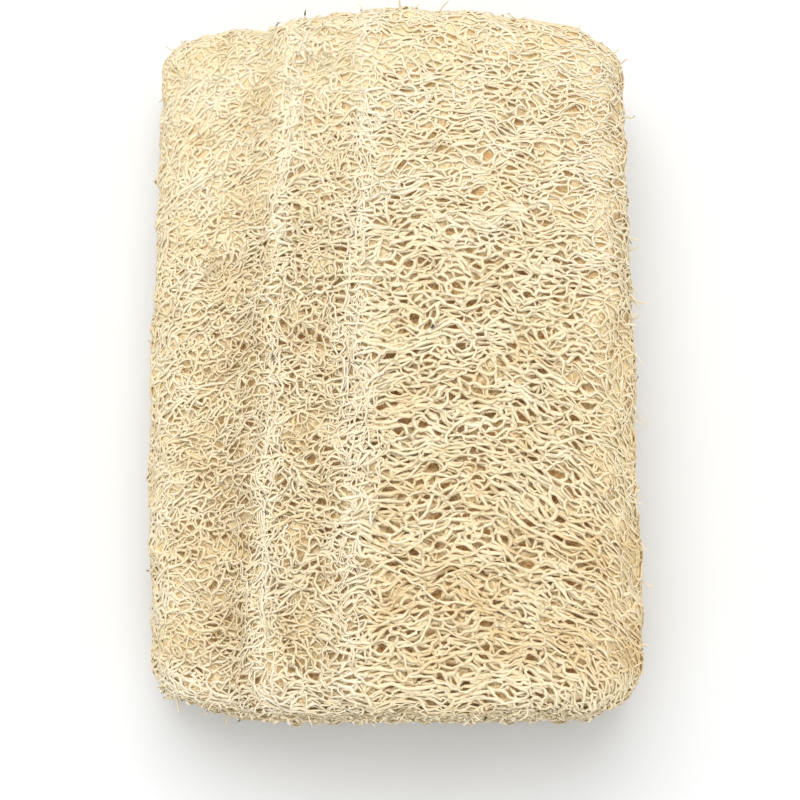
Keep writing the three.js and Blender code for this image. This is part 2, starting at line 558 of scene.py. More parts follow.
def thin_out(points, owner):
    """Which points of the strands to keep: every other one is left out where a strand runs
    straight, because nothing is seen of it there."""
    same = np.zeros(len(owner), bool)
    same[1:-1] = (owner[2:] == owner[1:-1]) & (owner[:-2] == owner[1:-1])
    back, ahead = np.zeros_like(points), np.zeros_like(points)
    back[1:-1] = points[1:-1] - points[:-2]
    ahead[1:-1] = points[2:] - points[1:-1]
    straight = (unit(back) * unit(ahead)).sum(1) > STRAIGHT_ENOUGH
    odd = np.arange(len(owner)) % 2 == 1
    return ~(same & straight & odd)


def runs(owner, keep):
    """Owners numbered anew after some points are left out, so that a strand is cut there."""
    start = np.ones(len(owner), bool)
    start[1:] = (owner[1:] != owner[:-1]) | (keep[1:] != keep[:-1])
    run = np.cumsum(start) - 1
    long_enough = np.bincount(run)[run] >= LEAST_POINTS
    return run, keep & long_enough


# The two nets. depth is how deep a net lies and radius is its strands'. cells and holes scale
# its cells and the holes that it parts round. slant is its share of the low band's drift. steps
# is how many points are laid in each stretch of a strand, seed starts its random draws, and shade
# is painted shade: 1 for none, in the open, and less for darker, warmer strands further in.
Layer = namedtuple("Layer", "name depth radius cells holes slant steps seed shade")
LAYERS = (
    Layer(
        "outer", depth=0.0, radius=0.31, cells=1.0, holes=1.0, slant=1.0, steps=3, seed=11,
        shade=0.92,
    ),
    Layer(
        "second", depth=0.27, radius=0.33, cells=0.8, holes=0.8, slant=-0.3, steps=2, seed=12,
        shade=0.75,
    ),
)

# Where the pieces part, the size of a cell of the outer net there, across and away, and the
# layers that lie there
REGIONS = [
    ("underside_low", 0, UNDER_LOW_END, 5.1, 3.2, ("outer",)),
    ("low_side", UNDER_LOW_END, LOW_SIDE_END, 3.6, 1.9, ("outer", "second")),
    ("low_band", LOW_SIDE_END, CREASE_OUT, 2.5, 1.7, ("outer", "second")),
    ("middle_band", CREASE_OUT, CREASE_IN, 2.3, 1.75, ("outer", "second")),
    ("wide_band", CREASE_IN, FREE_SIDE_START, 4.3, 1.35, ("outer", "second")),
    ("free_side", FREE_SIDE_START, UNDER_FREE_START, 3.6, 1.9, ("outer", "second")),
    ("underside_free", UNDER_FREE_START, GIRTH, 5.1, 3.2, ("outer",)),
]

# The underside's seam, where across starts and ends: how far past it cells are laid and how large
# they are, and how far strands are kept, so that the two halves lie over each other
SEAM_MARGIN = 6
SEAM_CELL = (4.8, 3.0)
SEAM_LAP = 1

# Cells are smaller where the underside turns up at the ends
TURNED_UP_REACH = STRAIGHT_REACH - 3
TURNED_UP_CELL = (3.0, 1.8)

# How far away cells are laid, so that strands which drift still cover the ends, and how far their
# strands are kept
DRIFT_REACH = AWAY_REACH + 18
NET_REACH = RIM_REACH + 4

# How much longer across than away the nets are made, and how much thicker strands are where they
# meet than halfway between
STRETCH = 1.8
FACE_STRETCH = 1.15
WEB = 0.5


def fineness(u, v):
    """How thick strands are beside those of the wide band's near half."""
    places = [
        0, UNDER_LOW_END, LOW_SIDE_END, CREASE_OUT, CREASE_IN, CREASE_IN + 8,
        FREE_SIDE_START - 16, FREE_SIDE_START - 3, UNDER_FREE_START, GIRTH,
    ]
    by_region = np.interp(u, places, [1.1, 0.85, 0.78, 0.76, 0.82, 1.0, 1.0, 0.8, 0.85, 1.1])
    return by_region * (1 - 0.2 * ease(u, CREASE_IN, CREASE_IN + 10) * ease(v, 10, 40))


# Where away the fibre starts to close up and where it is closed: on the low band, on the middle
# band, at the inner crease and on the wide band
CLOSE_PLACES = (CREASE_OUT - 4, CREASE_OUT + 6, CREASE_IN, CREASE_IN + 6)
CLOSE_STARTS = (-20, 0, 5, 28)
CLOSE_ENDS = (62, 62, 62, 71)

# How closed it is on the underside, on the wide band's far half and at its free edge there, and
# between which places away, and for the free edge between which X, that comes about
UNDERSIDE_CLOSE = 0.25
WIDE_BAND_CLOSE, WIDE_BAND_CLOSE_RUN = 0.55, (5, 35)
FREE_EDGE_CLOSE, FREE_EDGE_CLOSE_RUN, FREE_EDGE_CLOSE_X = 0.9, (-15, 25), (34, 45)


def packed_close(u, v, on_low_side=1.0, on_free_side=1.0):
    """1 where the fibre is packed closest, at the far end, and 0 where it is most open, over the
    top at the near end. The pad's two sides are as close as given."""
    places = [UNDER_LOW_END, UNDER_LOW_END + 5, CREASE_IN, CREASE_IN, UNDER_FREE_START - 5]
    shares = [UNDERSIDE_CLOSE, on_low_side, on_low_side, on_free_side, on_free_side]
    on_sides = np.interp(u, places + [UNDER_FREE_START], shares + [UNDERSIDE_CLOSE])
    top = ease(u, LOW_SIDE_END - 3, LOW_SIDE_END + 9)
    top = top * (1 - ease(u, FREE_SIDE_START - 9, FREE_SIDE_START + 2))

    starts, ends = np.interp(u, CLOSE_PLACES, CLOSE_STARTS), np.interp(u, CLOSE_PLACES, CLOSE_ENDS)
    on_wide_band = ease(u, CREASE_IN, CREASE_IN + 6)
    wide_band = WIDE_BAND_CLOSE * on_wide_band * ease(v, *WIDE_BAND_CLOSE_RUN)
    at_free_edge = past_x(u, FREE_EDGE_CLOSE_X)
    free_edge = FREE_EDGE_CLOSE * at_free_edge * ease(v, *FREE_EDGE_CLOSE_RUN)
    free_edge = free_edge * (1 - ease(u, FREE_SIDE_START, FREE_SIDE_START + 8))
    by_length = np.max([ease(v, starts, ends), wide_band, free_edge], axis=0)
    return np.maximum(on_sides * (1 - top), by_length)


# How much of its depth the fibre loses where it is packed closest, and how close it counts as
# being on the low side and the free side for that: the nets, and the inner body
NETS_PRESSED = (0.8, 0.8, 0.66)
BODY_PRESSED = (0.75, 0.77, 0.59)


def depth_kept(u, v, lost, on_low_side, on_free_side):
    """The share of its depth that the fibre keeps where it is pressed together."""
    return 1 - lost * packed_close(u, v, on_low_side, on_free_side)


def ridge_share(u, v):
    """1 along the two pale ridges beside the creases, 0 away from them."""
    outer, inner = across_of(along(OUTER_CREASE, v) + 4.5), across_of(along(INNER_CREASE, v) + 4.5)
    return bell(u, outer, 2.4) + bell(u, inner, 3.2)


# How much paler strands are, as a share of all their tones: on the ridges, and elsewhere as
# painted light, and painted shade where the amount is below 0: at the near end, where the fibre is
# close beside the wide band and on it, and then at the free edge and on the wide band, in the near
# half and in the far half. A run is where that comes about, in millimetres from mid-length towards
# that end, and an X is where the free edge starts.
RIDGE_PALER = 0.27
NEAR_END_PAINTED_LIGHT, NEAR_END_RUN = 0.3, (62, 72)
CLOSE_PAINTED_LIGHT, CLOSE_WIDE_PAINTED_SHADE = 0.1, -0.05
FREE_EDGE_X = (36, 44)
FREE_EDGE_NEAR_PAINTED_SHADE, FREE_EDGE_NEAR_RUN = -0.25, (25, 50)
FREE_EDGE_FAR_PAINTED_LIGHT, FREE_EDGE_FAR_RUN = 0.35, (-10, 30)
WIDE_BAND_NEAR_PAINTED_SHADE, WIDE_BAND_NEAR_RUN = -0.22, (15, 50)
WIDE_BAND_FAR_PAINTED_LIGHT, WIDE_BAND_FAR_RUN = 0.2, (5, 35)


def paleness_and_painted_light(u, v):
    """How much paler a strand is than the usual one, by its place: on the ridges, and elsewhere
    as painted light, and painted shade where it is darker.
    """
    free_edge = past_x(u, FREE_EDGE_X)
    wide_band = ease(u, CREASE_IN, CREASE_IN + 10) * (1 - free_edge)
    free_far = FREE_EDGE_FAR_PAINTED_LIGHT * ease(v, *FREE_EDGE_FAR_RUN)
    free_near = FREE_EDGE_NEAR_PAINTED_SHADE * ease(-v, *FREE_EDGE_NEAR_RUN)
    wide_far = WIDE_BAND_FAR_PAINTED_LIGHT * ease(v, *WIDE_BAND_FAR_RUN)
    wide_near = WIDE_BAND_NEAR_PAINTED_SHADE * ease(-v, *WIDE_BAND_NEAR_RUN)
    return (
        RIDGE_PALER * ridge_share(u, v)
        + NEAR_END_PAINTED_LIGHT * ease(-v, *NEAR_END_RUN)
        + np.where(u < CREASE_IN, CLOSE_PAINTED_LIGHT, CLOSE_WIDE_PAINTED_SHADE) * packed_close(u, v)
        + free_edge * (free_far + free_near)
        + wide_band * (wide_far + wide_near)
    )


SWELL_RIPPLES = ((0.3, 6.5, 60), (0.17, 3, 61))


def swell(u, v):
    """How far the fibre bulges out of the plain shape. The underside lies flat."""
    sides = ease(u, UNDER_LOW_END, UNDER_LOW_END + 6)
    sides = sides * (1 - ease(u, UNDER_FREE_START - 6, UNDER_FREE_START))
    return sides * ripples(u, v, SWELL_RIPPLES)


# The larger holes: how far apart their places are, how far apart two of them have to be, how
# often they are on the middle band and elsewhere beside where there are most, the chance of one
# where there are fewest and how much that grows, how many fewer there are at the far end and
# where that comes about. Then half a hole's length, its height beside its length, and the size of
# those on the low band beside the others. Pairs of distances are across and away.
HOLE_SPACING = (4.1, 3.4)
HOLES_APART = (3.0, 2.0)
HOLES_ON_MIDDLE, HOLES_ELSEWHERE = 0.85, 0.25
HOLE_CHANCE, HOLE_CHANCE_GROWS = 0.12, 0.88
FAR_END_FEWER, FAR_END_RUN = 0.3, (40, 66)
HOLE_LENGTHS = (0.8, 1.75)
HOLE_HEIGHTS = (0.4, 0.6)
LOW_BAND_HOLES = 0.75


def place_holes():
    """The holes: where they are across and away before the flow, and half their sizes. Most lie
    in the creases, on the middle band and over the wide band, and fewer at the far end."""
    rng = np.random.default_rng(31)
    u, v = lattice(
        LOW_SIDE_END - 22, FREE_SIDE_START + 24, *HOLE_SPACING, rng, DRIFT_REACH
    ).T
    outer, inner = bell(u, CREASE_OUT - 3, 3), bell(u, CREASE_IN - 2.5, 2.5)
    wide = ease(u, CREASE_IN + 8, CREASE_IN + 15) * (1 - past_x(u, (38, 46)))
    middle = ease(u, CREASE_OUT + 3, CREASE_OUT + 6) * (1 - ease(u, CREASE_IN, CREASE_IN + 3))
    elsewhere = np.full(len(u), HOLES_ELSEWHERE)
    often = np.max([outer, inner, wide, HOLES_ON_MIDDLE * middle, elsewhere], axis=0)
    fewer = 1 - FAR_END_FEWER * ease(v, *FAR_END_RUN)
    chance = HOLE_CHANCE + HOLE_CHANCE_GROWS * often * fewer
    kept = rng.random(len(u)) < chance
    apart_u, apart_v = HOLES_APART
    for k in range(len(u)):
        near = (abs(u[:k] - u[k]) < apart_u) & (abs(v[:k] - v[k]) < apart_v) & kept[:k]
        kept[k] &= not near.any()
    length = rng.uniform(*HOLE_LENGTHS, len(u)) * np.where(u < CREASE_OUT, LOW_BAND_HOLES, 1)
    height = length * rng.uniform(*HOLE_HEIGHTS, len(u))
    return np.stack([u, v, length, height], 1)[kept]


HOLES = place_holes()


def part_round_holes(u, v, scale):
    """Strands that would cross a hole are moved to its edge."""
    order = np.argsort(u)
    sorted_u = u[order]
    u, v = u.copy(), v.copy()
    for hole_u, hole_v, length, height in HOLES * (1, 1, scale, scale):
        first, last = np.searchsorted(sorted_u, [hole_u - 3 * length, hole_u + 3 * length])
        near = order[first:last]
        du, dv = u[near] - hole_u, v[near] - hole_v
        away = np.hypot(du / length, dv / height) + 1e-6
        push = (away**3 + 1) ** (1 / 3) / away
        u[near], v[near] = hole_u + du * push, hole_v + dv * push
    return u, v


def skin_seeds(cells, rng):
    """Seeds of a net's cells round the whole pad, and a little past the underside's seam."""
    seam_u, seam_v = SEAM_CELL
    seeds = np.concatenate([
        lattice(u0, u1, cell_u * cells, cell_v * cells, rng, DRIFT_REACH)
        for _, u0, u1, cell_u, cell_v, _ in REGIONS
    ] + [
        lattice(edge - SEAM_MARGIN, edge, seam_u * cells, seam_v * cells, rng, DRIFT_REACH)
        for edge in (0, GIRTH + SEAM_MARGIN)
    ])
    up_u, up_v = TURNED_UP_CELL
    turned_up = np.concatenate([
        lattice(u0, u1, up_u * cells, up_v * cells, rng, DRIFT_REACH)
        for u0, u1 in ((-SEAM_MARGIN, UNDER_LOW_END), (UNDER_FREE_START, GIRTH + SEAM_MARGIN))
    ])
    turned_up = turned_up[abs(turned_up[:, 1]) > TURNED_UP_REACH]
    ends = abs(seeds[:, 1]) > TURNED_UP_REACH
    under = (seeds[:, 0] < UNDER_LOW_END) | (seeds[:, 0] > UNDER_FREE_START)
    return np.concatenate([seeds[~(ends & under)], turned_up])


# How uneven the nets' strands are, in amounts and lengths of waves. They curl off their line
# across and away, less on the wide band. Depth, width and tone vary from strand to strand by a
# spread, and along each by a ripple. Where the fibre is close strands are also thicker: beside
# the wide band, and on it.
CURL_ACROSS, CURL_WAVE_ACROSS = 0.34, 1.5
CURL_AWAY, CURL_WAVE_AWAY = 0.3, 1.4
WIDE_BAND_STRAIGHTER = 0.35
LAY_SPREAD, LAY_RIPPLE, LAY_WAVE = 0.13, 0.14, 3.2
WIDTH_SPREAD, WIDTH_RIPPLE, WIDTH_WAVE = 0.2, 0.1, 1.5
TONE_SPREAD, TONE_RIPPLE, TONE_WAVE, TONE_SEED = 0.1, 0.09, 8, 77
CLOSE_THICKER, CLOSE_WIDE_THICKER = 0.28, 0.04


def skin_net(layer, material):
    """One layer of the net round the whole pad, as one piece for each region."""
    rng = np.random.default_rng(layer.seed)
    noise_seed = layer.seed * 7
    strands = strands_of(skin_seeds(layer.cells, rng), STRETCH, rng)
    places, owner, meeting = smooth(strands, layer.steps)
    u, v = places.T
    curly = 1 - WIDE_BAND_STRAIGHTER * ease(u, CREASE_IN - 2, CREASE_IN + 4)
    u, v = (
        u + CURL_ACROSS * curly * ripple(u, v, CURL_WAVE_ACROSS, noise_seed),
        v + CURL_AWAY * curly * ripple(u, v, CURL_WAVE_AWAY, noise_seed + 1),
    )
    u, v = part_round_holes(u, v, layer.holes)
    v = v + flow(u, v, layer.slant)
    run, keep = runs(owner, abs(v) < NET_REACH)
    u, v, owner, meeting = u[keep], v[keep], run[keep], meeting[keep]

    count = owner.max() + 1
    lay = rng.normal(0, LAY_SPREAD, count)[owner]
    lay = lay + LAY_RIPPLE * ripple(u, v, LAY_WAVE, noise_seed + 2)
    deep = (layer.depth + lay) * depth_kept(u, v, *NETS_PRESSED)
    surface, outward = on_skin(u, v)
    points = surface - outward * (deep - swell(u, v))[:, None]

    width = np.exp(rng.normal(0, WIDTH_SPREAD, count).clip(-0.4, 0.3))[owner]
    thicker = np.where(u < CREASE_IN, CLOSE_THICKER, CLOSE_WIDE_THICKER) * packed_close(u, v)
    web = (1 + WEB * (meeting - 0.5)) * (1 + thicker)
    size = layer.radius * fineness(u, v) * width * web
    size = size * (1 + WIDTH_RIPPLE * ripple(u, v, WIDTH_WAVE, noise_seed + 3))

    tone = 0.5 + rng.normal(0, TONE_SPREAD, count)[owner]
    tone = tone + TONE_RIPPLE * ripple(u, v, TONE_WAVE, TONE_SEED)
    # Paler and darker by place: paler on the ridges, and elsewhere painted light and painted
    # shade.
    tone = np.clip(tone + paleness_and_painted_light(u, v), 0, 1)
    # Strands that lie deeper than their net get more painted shade.
    shade = np.clip(layer.shade - 0.2 * (deep - layer.depth), 0.02, 0.98)

    middle = (np.bincount(owner, u) / np.maximum(np.bincount(owner), 1))[owner]
    kept = thin_out(points, owner)
    for name, u0, u1, _, _, layers in REGIONS:
        if layer.name not in layers:
            continue
        low = -SEAM_LAP if u0 == 0 else u0
        high = GIRTH + SEAM_LAP if u1 == GIRTH else u1
        here = (middle >= low) & (middle < high) & kept
        tubes(
            f"{name}_{layer.name}_net", points[here], outward[here], owner[here], size[here],
            tone[here], shade[here], material,
        )


# A cut end's face: how far it lies inside the full length, how far inside its outline the nets
# stop, at the sides and above, and how low they reach
FACE_IN = 0.6
FACE_SIDE_EDGE = 0.5
FACE_TOP_EDGE = 0.3
FACE_BOTTOM = 1.0

# The size of a cell of the nets there and of the field of cut tips, X and Z, half the size of the
# field that each is laid in, and the height of its middle
FACE_CELL = (2.9, 2.4)
FACE_FIELD = (46, 22)
TIP_CELL = (1.9, 1.7)
TIP_FIELD = (44, 20)
FIELD_MIDDLE = 20


def face_lattice(cell, field, scale, rng):
    """Seeds of cells over a cut end's face, as X and Z."""
    (cell_x, cell_z), (half_x, half_z) = cell, field
    seeds = lattice(-half_x, half_x, cell_x * scale, cell_z * scale, rng, half_z)
    return seeds + (0, FIELD_MIDDLE)


def end_outline(far):
    """The upper outline of a cut end's face: X, and the highest Z there."""
    y = (LENGTH / 2 - END_BULGE) * (1 if far else -1)
    x, z = section(y)
    upper = slice(int(STARTS["low_side"] + 8), int(STARTS["rim_under_free"] - 8))
    keep = 1 - END_RIM / half_width(y)
    lift = END_UNDERSIDE_LIFT
    return x[upper] * keep, lift + z[upper] * (1 - (END_RIM + lift) / THICKNESS)


def on_face(x, z, far, lowest):
    """Which places lie on a cut end's face, above the lowest height given."""
    outline_x, outline_z = end_outline(far)
    top = np.interp(x, outline_x, outline_z)
    across = abs(x) < outline_x.max() - FACE_SIDE_EDGE
    return across & (z > lowest) & (z < top - FACE_TOP_EDGE)


def on_end(x, z, far):
    """Points and outward directions on a cut end's face and where it turns under."""
    side = 1 if far else -1
    longer = 0 if far else NEAR_END_LONGER
    turn = np.arccos(1 - np.clip(z / END_UNDERSIDE_LIFT, 0, 1))
    under = END_RIM * (1 - np.sin(turn))
    before_inset = x / (1 - END_RIM / half_width(side * LENGTH / 2))
    trim = end_trim(before_inset, side * LENGTH / 2)
    y = side * (LENGTH / 2 - FACE_IN + longer - trim - under)
    return np.stack([x, y, z], 1), np.tile([0.0, side, 0.0], (len(x), 1))


# The nets over the cut ends: how far they curl and how they lie, and their tone with its spread,
# paler than the skin's as painted light on the faces.
FACE_CURL, FACE_CURL_WAVE = 0.4, 1.5
FACE_LAY_SPREAD, FACE_LAY_RIPPLE, FACE_LAY_WAVE = 0.3, 0.45, 3
FACE_PAINTED_LIGHT_TONE, FACE_TONE_SPREAD = 0.75, 0.13


def end_net(layer, far, material):
    """One layer of the net over a cut end: curly, the same in all directions."""
    rng = np.random.default_rng(layer.seed + 50 + far)
    noise_seed = layer.seed * 9
    seeds = face_lattice(FACE_CELL, FACE_FIELD, layer.cells, rng)
    places, owner, _ = smooth(strands_of(seeds, FACE_STRETCH, rng), layer.steps)
    x, z = places.T
    x, z = (
        x + FACE_CURL * ripple(x, z, FACE_CURL_WAVE, noise_seed),
        z + FACE_CURL * ripple(x, z, FACE_CURL_WAVE, noise_seed + 1),
    )
    run, keep = runs(owner, on_face(x, z, far, FACE_BOTTOM))
    x, z, owner = x[keep], z[keep], run[keep]
    count = owner.max() + 1
    lay = rng.normal(0, FACE_LAY_SPREAD, count)[owner]
    lay = lay + FACE_LAY_RIPPLE * ripple(x, z, FACE_LAY_WAVE, noise_seed + 2)
    surface, outward = on_end(x, z, far)
    points = surface - outward * (layer.depth + lay)[:, None]
    size = layer.radius * np.exp(rng.normal(0, WIDTH_SPREAD, count))[owner]
    tone = np.clip(FACE_PAINTED_LIGHT_TONE + rng.normal(0, FACE_TONE_SPREAD, count)[owner], 0, 1)
    kept = thin_out(points, owner)
    name = f"{'far' if far else 'near'}_end_{layer.name}_net"
    tubes(
        name, points[kept], outward[kept], owner[kept], size[kept], tone[kept],
        np.full(kept.sum(), layer.shade), material,
    )


# Kinds of cut strands. lengths is the range of their lengths, root is how deep they start, curl is
# the most that one turns, in radians, scatter is how far their directions stray, and steps is how
# many points each has.
Stub = namedtuple("Stub", "radius lengths root curl scatter steps")
CUT_TIP = Stub(radius=0.24, lengths=(1.6, 2.6), root=1.5, curl=0.9, scatter=0.45, steps=4)
STRAY = Stub(radius=0.2, lengths=(1.5, 4.2), root=0.2, curl=3.0, scatter=0.5, steps=6)
LONG_STRAY = Stub(radius=0.19, lengths=(2.5, 6), root=0.2, curl=0.9, scatter=0.25, steps=6)
BLEACHED = Stub(radius=0.15, lengths=(1, 2.4), root=0, curl=2.5, scatter=0.6, steps=6)

# The least share of its curl that a cut strand has, their tones as a middle and a spread, paler
# than the nets' in part as painted light for the cut ends' faces, and their shade from root to
# tip, painted shade that darkens the root
LEAST_CURL = 0.15
STUB_TONE = (0.72, 0.15)
STUB_SHADE = (0.75, 0.98)


def stubs(name, kind, surface, outward, stand, rng, material, lean=(0, 0, 0)):
    """Short cut strands, each an arc from its root. They stand as far off the surface as given,
    0 being flat on it, and lean the given way."""
    count = len(surface)
    directions = unit(outward * stand + rng.normal(0, kind.scatter, surface.shape) + lean)
    lengths = rng.uniform(*kind.lengths, count)
    roots = surface - outward * kind.root
    side = unit(np.cross(directions, rng.normal(size=(count, 3))))
    turn = rng.uniform(LEAST_CURL, 1, (count, 1)) * kind.curl
    bend = turn * np.linspace(0, 1, kind.steps)
    reach = (lengths[:, None] / turn)[:, :, None]
    ahead, aside = np.sin(bend)[:, :, None], (1 - np.cos(bend))[:, :, None]
    path = roots[:, None] + reach * (directions[:, None] * ahead + side[:, None] * aside)
    points = path.reshape(-1, 3)
    owner = np.repeat(np.arange(count), kind.steps)
    size = np.repeat(kind.radius * np.exp(rng.normal(0, WIDTH_SPREAD, count)), kind.steps)
    tone = np.clip(np.repeat(rng.normal(*STUB_TONE, count), kind.steps), 0, 1)
    shade = np.tile(np.linspace(*STUB_SHADE, kind.steps), count)
    facing = np.repeat(side, kind.steps, axis=0)
    tubes(name, points, facing, owner, size, tone, shade, material)


def end_tips(far, material):
    """The cut tips of the strands that run lengthwise through the pad."""
    rng = np.random.default_rng(70 + far)
    x, z = face_lattice(TIP_CELL, TIP_FIELD, 1, rng).T
    inside = on_face(x, z, far, END_UNDERSIDE_LIFT + FACE_TOP_EDGE)
    x, z = x[inside], z[inside]
    surface, outward = on_end(x, z, far)
    name = f"{'far' if far else 'near'}_end_tips"
    stubs(name, CUT_TIP, surface, outward, 1, rng, material)


# Where broken strands stand off the skin: how many, and between which places across and away.
# They are at the free side, the near end, the low side and the far end.
STRAYS = (
    (70, (STARTS["rim_free"] + 8, STARTS["rim_free"] + 38), (-RIM_REACH, RIM_REACH)),
    (130, (40, GIRTH - 40), (-86, -72)),
    (45, (45, 62), (-70, 70)),
    (60, (40, GIRTH - 40), (70, 80)),
)
STRAYS_STAND = (0.1, 0.6)

# The long ones at the free side: how many, between which places, and how they stand and lean
LONG_STRAYS = 16
LONG_STRAYS_ACROSS = (STARTS["free_side"] - 6, STARTS["free_side"] + 2)
LONG_STRAYS_AWAY = (-66, 45)
LONG_STRAYS_STAND = 0.55
LONG_STRAYS_LEAN = (0, -0.7, 0)


def stray_ends(material):
    """Broken strands that stand off the skin: many short curled ones, and a few long ones that
    lean towards the near end at the free side."""
    rng = np.random.default_rng(81)
    u, v = np.concatenate([
        np.stack([rng.uniform(*across, count), rng.uniform(*away, count)], 1)
        for count, across, away in STRAYS
    ]).T
    surface, outward = on_skin(u, np.clip(v, -NET_REACH, NET_REACH))
    surface = surface + outward * swell(u, v)[:, None]
    stand = rng.uniform(*STRAYS_STAND, (len(u), 1))
    stubs("stray_ends", STRAY, surface, outward, stand, rng, material)

    u = rng.uniform(*LONG_STRAYS_ACROSS, LONG_STRAYS)
    surface, outward = on_skin(u, rng.uniform(*LONG_STRAYS_AWAY, LONG_STRAYS))
    stubs(
        "long_strays", LONG_STRAY, surface, outward, LONG_STRAYS_STAND, rng, material,
        lean=LONG_STRAYS_LEAN,
    )


# The two ridges: the crease that each lies beside, how far from it, how wide it is and how many
# strands it has. Then where along the pad a strand may start, how many steps it goes on for, how
# long a step is and how far it drifts aside in one, where the last of them stop, and the fewest
# points that one has. Then its curl, how deep it lies and how far that varies, as on the nets.
RIDGES = ((OUTER_CREASE, 3.4, 1.5, 70), (INNER_CREASE, 3.8, 2.1, 80))
RIDGE_STARTS = (-76, 70)
RIDGE_STEPS = (8, 26)
RIDGE_STEP = 1.15
RIDGE_DRIFT = 0.5
RIDGE_REACH = 77
RIDGE_LEAST_POINTS = 5
RIDGE_CURL, RIDGE_CURL_WAVE = 0.4, 1.3
RIDGE_DEPTH = 0.05
RIDGE_LAY_SPREAD, RIDGE_LAY_RIPPLE, RIDGE_LAY_WAVE = 0.2, 0.15, 2.5
RIDGE_RADIUS = 0.19
RIDGE_TONE = (0.85, 0.12)
# A ridge strand's shade is a slight painted shade.
RIDGE_SHADE = 0.95


def ridge_strands(material):
    """Fine pale strands that run lengthwise along the two ridges beside the creases."""
    rng = np.random.default_rng(91)
    paths = []
    for crease, offset, spread, strands in RIDGES:
        for _ in range(strands):
            start = rng.uniform(*RIDGE_STARTS)
            steps = rng.integers(*RIDGE_STEPS)
            v = start + np.arange(steps) * RIDGE_STEP
            drift = np.cumsum(rng.normal(0, RIDGE_DRIFT, steps))
            u = across_of(along(crease, v) + offset) + rng.normal(0, spread) + drift
            paths.append(np.stack([u, v], 1)[v < RIDGE_REACH])
    long_enough = [path for path in paths if len(path) >= RIDGE_LEAST_POINTS]
    places, owner, _ = smooth(long_enough, 1)
    u, v = places.T
    u = u + RIDGE_CURL * ripple(u, v, RIDGE_CURL_WAVE, 92)
    v = v + RIDGE_CURL * ripple(u, v, RIDGE_CURL_WAVE, 93)
    count = owner.max() + 1
    deep = RIDGE_DEPTH + rng.normal(0, RIDGE_LAY_SPREAD, count)[owner]
    deep = deep + RIDGE_LAY_RIPPLE * ripple(u, v, RIDGE_LAY_WAVE, 94) - swell(u, v)
    surface, outward = on_skin(u, v)
    points = surface - outward * deep[:, None]
    size = RIDGE_RADIUS * np.exp(rng.normal(0, WIDTH_SPREAD, count))[owner]
    tone = np.clip(rng.normal(*RIDGE_TONE, count), 0, 1)[owner]
    shade = np.full(len(u), RIDGE_SHADE)
    tubes("ridge_strands", points, outward, owner, size, tone, shade, material)


# Where papery scraps of skin are left on the wide band: X and Y. Each is so many shreds, thrown so
# far across and away and turned by so much. A shred has a half width, a half length beside it, an
# outline along it that varies between two shares, a lift off the strands, and a finish: its tones
# and a slight painted shade.
FLAKES = ((27.5, -57), (22.6, -7.5))
SHREDS = 7
SHRED_THROW = (0.6, 0.45)
SHRED_TURN = 0.7
SHRED_HALF_WIDTHS = (0.3, 0.55)
SHRED_HALF_LENGTH = 1.6
SHRED_OUTLINE = (0.6, 0.9, 1.0, 0.8, 0.5)
SHRED_UNEVEN = (0.8, 1.2)
SHRED_LIFTS = (0.1, 0.3)
SHRED_FLATNESS = 0.2
SHRED_TONES, SHRED_SHADE = (0.5, 0.9), 0.9


def flakes(material):
    """Papery scraps of dried skin that cling to the wide band: each a few thin, flat shreds that
    lie over one another."""
    rng = np.random.default_rng(97)
    centre_u = np.repeat([across_of(x) for x, _ in FLAKES], SHREDS)
    centre_v = np.repeat([y for _, y in FLAKES], SHREDS)
    count = len(centre_u)
    turn = rng.normal(0, SHRED_TURN, count)[:, None]
    size = rng.uniform(*SHRED_HALF_WIDTHS, count)[:, None]
    steps = len(SHRED_OUTLINE)
    step = np.linspace(-SHRED_HALF_LENGTH, SHRED_HALF_LENGTH, steps)
    throw_u, throw_v = SHRED_THROW
    u = (centre_u + rng.normal(0, throw_u, count))[:, None] + np.cos(turn) * step * size
    v = (centre_v + rng.normal(0, throw_v, count))[:, None] + np.sin(turn) * step * size
    u, v = u.ravel(), v.ravel()
    surface, outward = on_skin(u, v)
    lift = swell(u, v) + np.repeat(rng.uniform(*SHRED_LIFTS, count), steps)
    width = (size * SHRED_OUTLINE).ravel() * rng.uniform(*SHRED_UNEVEN, count * steps)
    tone = np.repeat(rng.uniform(*SHRED_TONES, count), steps)
    tubes(
        "flakes", surface + outward * lift[:, None], outward, np.repeat(np.arange(count), steps),
        width, tone, np.full(count * steps, SHRED_SHADE), material, sides=4,
        flatness=SHRED_FLATNESS,
    )


# Where the low band has a patch of fuzz, as X and Y, how many strands it has, how far they are
# thrown across and away, and how far they stand
FUZZ = (-38.4, 19.6)
FUZZ_STRANDS = 46
FUZZ_THROW = (1.3, 1.5)
FUZZ_STAND = 0.15


def fuzz(material):
    """A patch of fine bleached fibre on the low band."""
    rng = np.random.default_rng(98)
    (x, y), (throw_u, throw_v) = FUZZ, FUZZ_THROW
    u = across_of(x) + rng.normal(0, throw_u, FUZZ_STRANDS)
    v = y + rng.normal(0, throw_v, FUZZ_STRANDS)
    surface, outward = on_skin(u, v)
    surface = surface + outward * swell(u, v)[:, None]
    stubs("bleached_fuzz", BLEACHED, surface, outward, FUZZ_STAND, rng, material)


def linear(hex_code):
    """A screen colour as Blender's linear colour."""
    parts = [int(hex_code[i:i + 2], 16) / 255 for i in (1, 3, 5)]
    return [c / 12.92 if c <= 0.04045 else ((c + 0.055) / 1.055) ** 2.4 for c in parts] + [1.0]


